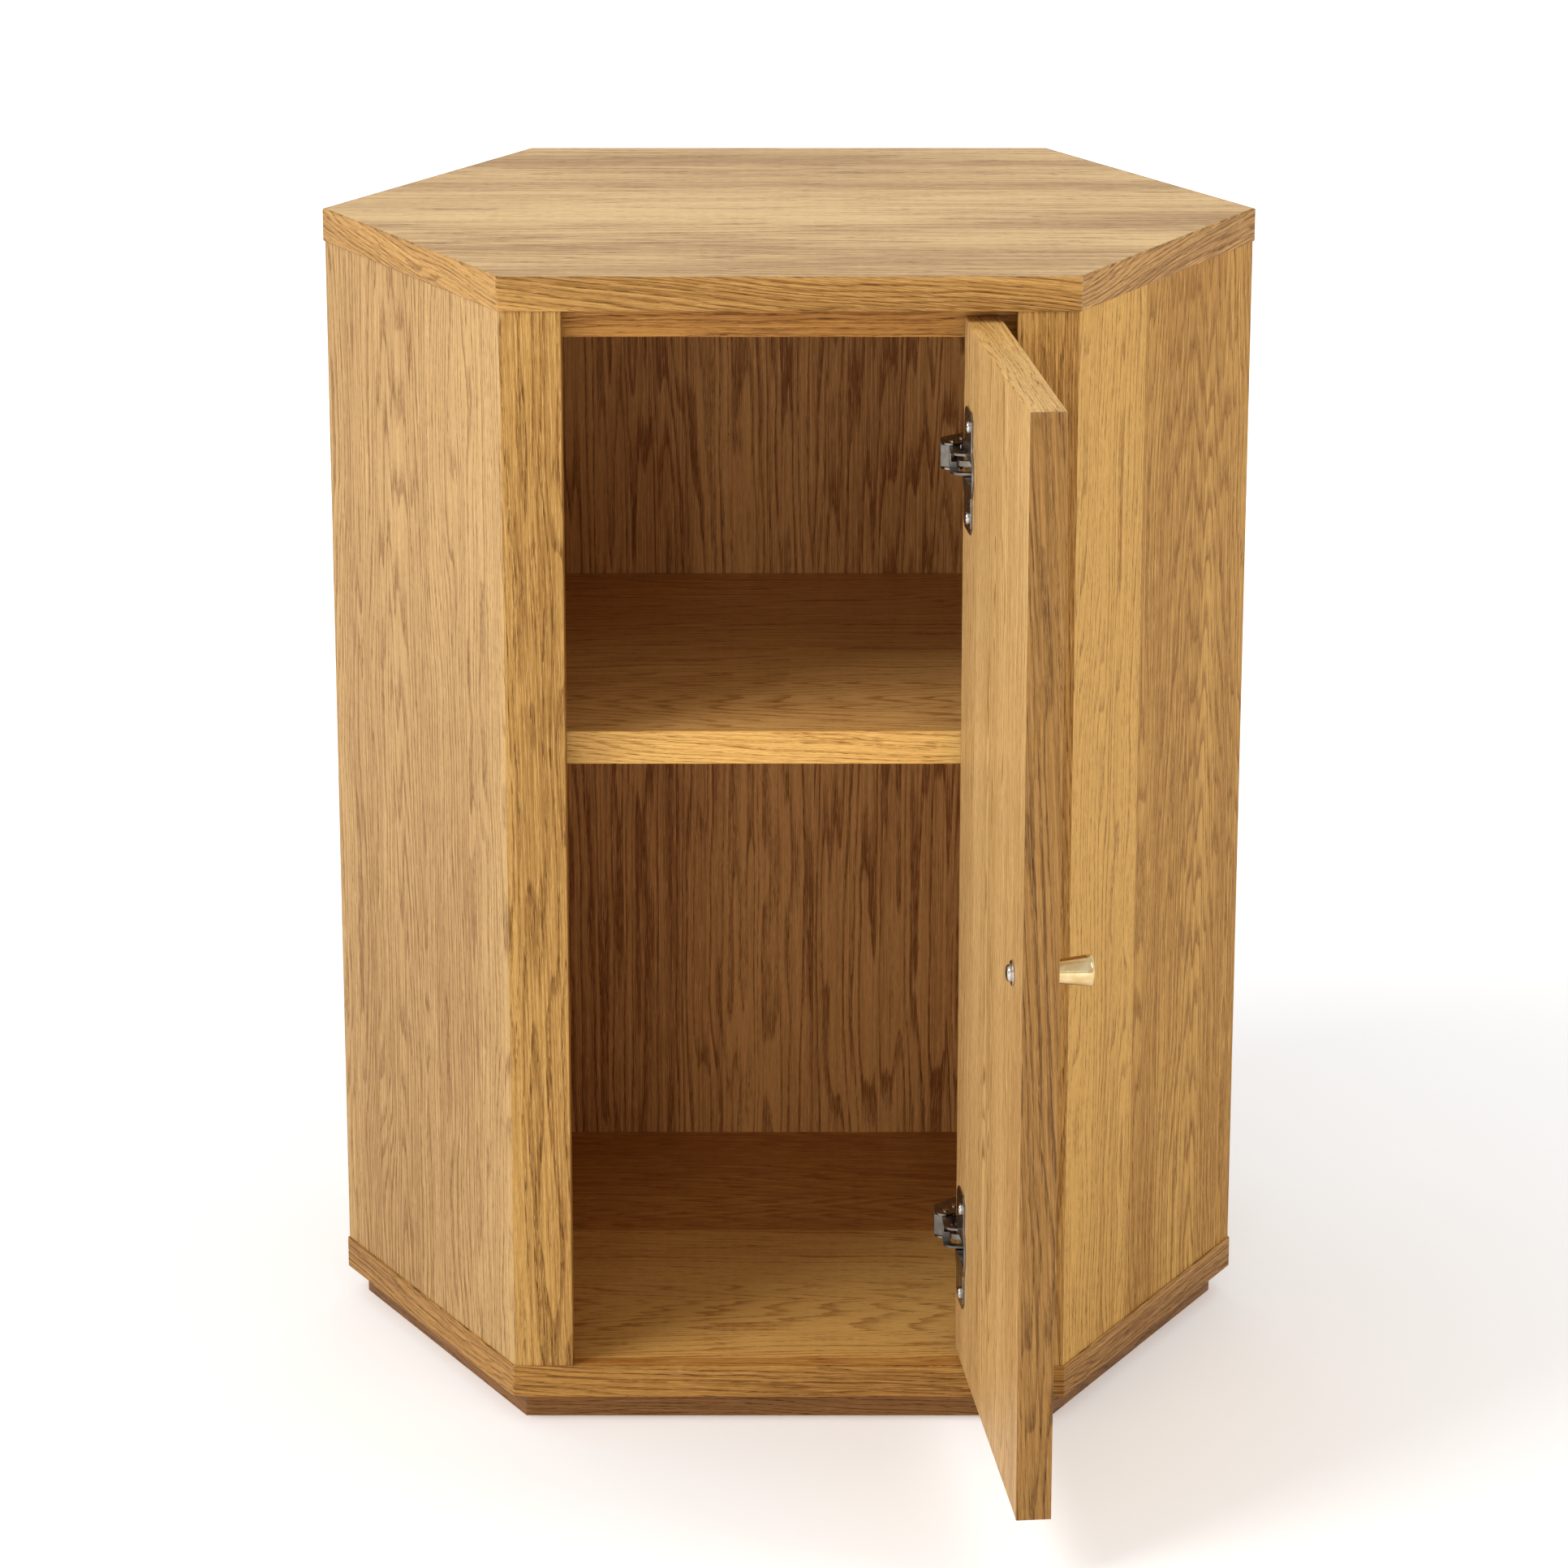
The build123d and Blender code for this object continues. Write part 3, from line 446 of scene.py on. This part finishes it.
# ---- Stiles and head rail ----
# Two solid oak uprights beside the opening and a rail across behind its top. The stiles
# have coarse open grain with short dark pores.
for number, hand in enumerate(("left", "right")):
    dress(
        f"stile_{hand}",
        oak(f"stile_oak_{hand}", UP, (0, -1, 0), linear(202, 157, 87), linear(144, 101, 47),
            71.0 + 9 * number, hearts=(150.0, 150.0), ring=4.6, coarse=1.5, pores=0.8, bands=0.4,
            slope=-0.02),
    )
dress(
    "head_rail",
    oak("rail_oak", (1, 0, 0), (0, -1, 0), linear(204, 148, 74), linear(136, 86, 36), 83.0,
        hearts=(90.0, 90.0), ring=3.6, tones=0.6, coarse=1.3),
)

# ---- Dowels ----
# Beech pins glued into the walls and into the top and base boards.
beech = oak("beech", UP, (0, -1, 0), linear(222, 188, 148), linear(200, 160, 118), 101.0, pores=0.2)
dress("base_dowels", beech)
dress("top_dowels", beech)

# ---- Top board ----
# Veneered like the base, with the grain across the cabinet and a strip of solid oak along
# each edge, mitred at the corners.
dress(
    "top_panel",
    oak("top_veneer", (1, 0, 0), (0, 0, 1), linear(226, 187, 124), linear(164, 120, 62), 3.0,
        leaf=420.0, slip=210.0, hearts=(-95.0, 0.0), under=22.0, taper=-0.06, centre=200.0, ring=6.5,
        bands=0.35, tones=0.7, gloss=0.4, sheen=0.28),
)
dress(
    "top_edging",
    oak("top_edge_oak", None, None, linear(200, 152, 84), linear(128, 86, 36), 57.0,
        place=edge_place, hearts=(60.0, 60.0), ring=2.6, coarse=1.2, slope=0.1),
)

# ---- Shelf ----
# A loose veneered shelf on four steel pins, with a solid oak strip along its front.
dress(
    "shelf_panel",
    oak("shelf_veneer", (1, 0, 0), (0, 0, 1), linear(236, 184, 110), linear(186, 124, 60), 13.0,
        hearts=(-105.0, 0.0), under=14.0, taper=-0.16, centre=60.0, ring=4.4, bands=0.6,
        gloss=0.36, sheen=0.3),
)
dress(
    "shelf_edging",
    oak("shelf_edge_oak", (1, 0, 0), (0, -1, 0), linear(236, 188, 108), linear(190, 138, 68), 89.0,
        hearts=(60.0, 60.0), ring=2.6, coarse=1.2, slope=0.04),
)

# ---- Door ----
# A veneered slab on the concealed hinges, shown open, with its grain upright and a solid
# oak strip glued along each edge.
SWING = radians(96)
DOOR_RUN = Vector((cos(SWING), sin(SWING), 0))  # from the free edge to the hinge edge
DOOR_FACE = Vector((-sin(SWING), cos(SWING), 0))  # the way the inner side faces
dress(
    "door_panel",
    oak("door_veneer", UP, DOOR_FACE, linear(232, 190, 126), linear(164, 116, 58), 31.0,
        hearts=(150.0, 150.0), ring=2.6, bands=0.7, tones=0.3, pores=0.8),
)
# The upright strips get darker colours than the top and bottom ones: painted shade on the edges that
# face front and back.
for number, strip in enumerate(("free", "hinge")):
    dress(
        f"door_{strip}_edge",
        oak(f"door_{strip}_edge_oak", UP, DOOR_RUN, linear(164, 119, 62), linear(106, 72, 36),
            47.0 + 5 * number, hearts=(110.0, 110.0), ring=3.4, coarse=1.5, pores=0.6, slope=0.05),
    )
for number, strip in enumerate(("bottom", "top")):
    dress(
        f"door_{strip}_edge",
        oak(f"door_{strip}_edge_oak", DOOR_RUN, UP, linear(222, 178, 108), linear(180, 134, 68),
            53.0 + 5 * number, hearts=(110.0, 110.0), ring=2.8, coarse=1.1),
    )

# ---- Knob, washer and screw ----
# A solid brass cone, turned and polished, held from inside the door by a bright steel
# screw with a cross recess and a washer under its head.
METAL_RELIEF = 0.0001
SMEARS = (0.12, 0.12, 0.12)  # cycles to a millimetre
CREASE = radians(26)
MERGE_REACH = 2e-6


def metal(name, tint, shade, roughness, grain=(0.4, 0.4, 0.4), start=1.0, scuffs=0.12):
    """Polished or plated metal with faint smears, fine scratches and duller patches."""
    finish = Finish(name, roughness)
    finish.shader.inputs["Metallic"].default_value = 1.0
    here = finish.add("ShaderNodeTexCoord", output="Object")
    place = finish.add("ShaderNodeMapping", {}, {"Vector": here, "Scale": [MILLIMETRES] * 3})
    smear = finish.grainy(place, SMEARS, start, 3.0)
    lines = finish.grainy(place, grain, start + 7.7, 3.0)
    colour = finish.blend(finish.ease(smear, 0.3, 0.7), tint, shade)
    finish.put(finish.shader.inputs["Base Color"], colour)
    dullness = roughness + (smear - 0.5) * scuffs + (lines - 0.5) * scuffs
    finish.put(finish.shader.inputs["Roughness"], dullness)
    values = {"Strength": 0.06, "Distance": METAL_RELIEF, "Height": lines}
    bump = finish.add("ShaderNodeBump", {}, values)
    finish.put(finish.shader.inputs["Normal"], bump)
    return finish.material


def polished(node, material, body):
    """A merged copy of a metal piece, smooth over its curves and crisp at its edges."""
    mesh = nodes[node].data.copy()
    if "custom_normal" in mesh.attributes:
        mesh.attributes.remove(mesh.attributes["custom_normal"])
    form = bmesh.new()
    form.from_mesh(mesh)
    bmesh.ops.remove_doubles(form, verts=form.verts, dist=MERGE_REACH)
    for edge in form.edges:
        edge.smooth = len(edge.link_faces) == 2 and edge.calc_face_angle() < CREASE
    for face in form.faces:
        face.smooth = True
    form.to_mesh(mesh)
    form.free()
    mesh.materials.clear()
    mesh.materials.append(material)
    piece = show(f"{node}_finished", mesh)
    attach(piece, body)
    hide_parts(node)


brass = metal("polished_brass", linear(236, 212, 164), linear(216, 186, 130), 0.12, (2.2, 0.1, 0.1), 2.0)
bright_steel = metal("bright_steel", linear(214, 208, 200), linear(188, 182, 174), 0.22, start=4.0)
polished("knob", brass, "door")
polished("knob_washer", bright_steel, "door")
polished("knob_screw", bright_steel, "door")

# ---- Hinges, their blocks and the shelf pins ----
# Two concealed hinges of nickel-plated steel: a cup let into the door, a cranked arm on a
# plate screwed to an oak block behind the stile, and two links between them.
dress(
    "hinge_blocks",
    oak("hinge_block_oak", UP, (-1, 0, 0), linear(206, 156, 84), linear(156, 106, 50), 109.0),
)
plated = metal("dark_nickel", linear(150, 144, 136), linear(116, 110, 104), 0.27, (0.2, 0.2, 2.0), 6.0)
satin = metal("satin_nickel", linear(142, 136, 128), linear(112, 107, 100), 0.36, (0.2, 0.2, 3.0), 8.0)
HINGE_FINISHES = {
    "cup": (plated, "hinge_steel", "door"),
    "cup_pins": (plated, "hinge_steel", "door"),
    "cup_screws": (bright_steel, "hardware_steel", "door"),
    "arm": (plated, "hinge_steel", "cabinet"),
    "arm_pins": (bright_steel, "hinge_steel", "cabinet"),
    "arm_screws": (bright_steel, "hardware_steel", "cabinet"),
    "plate": (plated, "hinge_steel", "cabinet"),
    "plate_screws": (bright_steel, "hardware_steel", "cabinet"),
    "outer_link": (satin, "hinge_steel", None),
    "inner_link": (satin, "hinge_steel", None),
}
for height in ("upper", "lower"):
    for part, (material, slot, body) in HINGE_FINISHES.items():
        polished(f"{height}_{part}", material, body or f"{height}_{part}")
polished("shelf_pins", bright_steel, "cabinet")
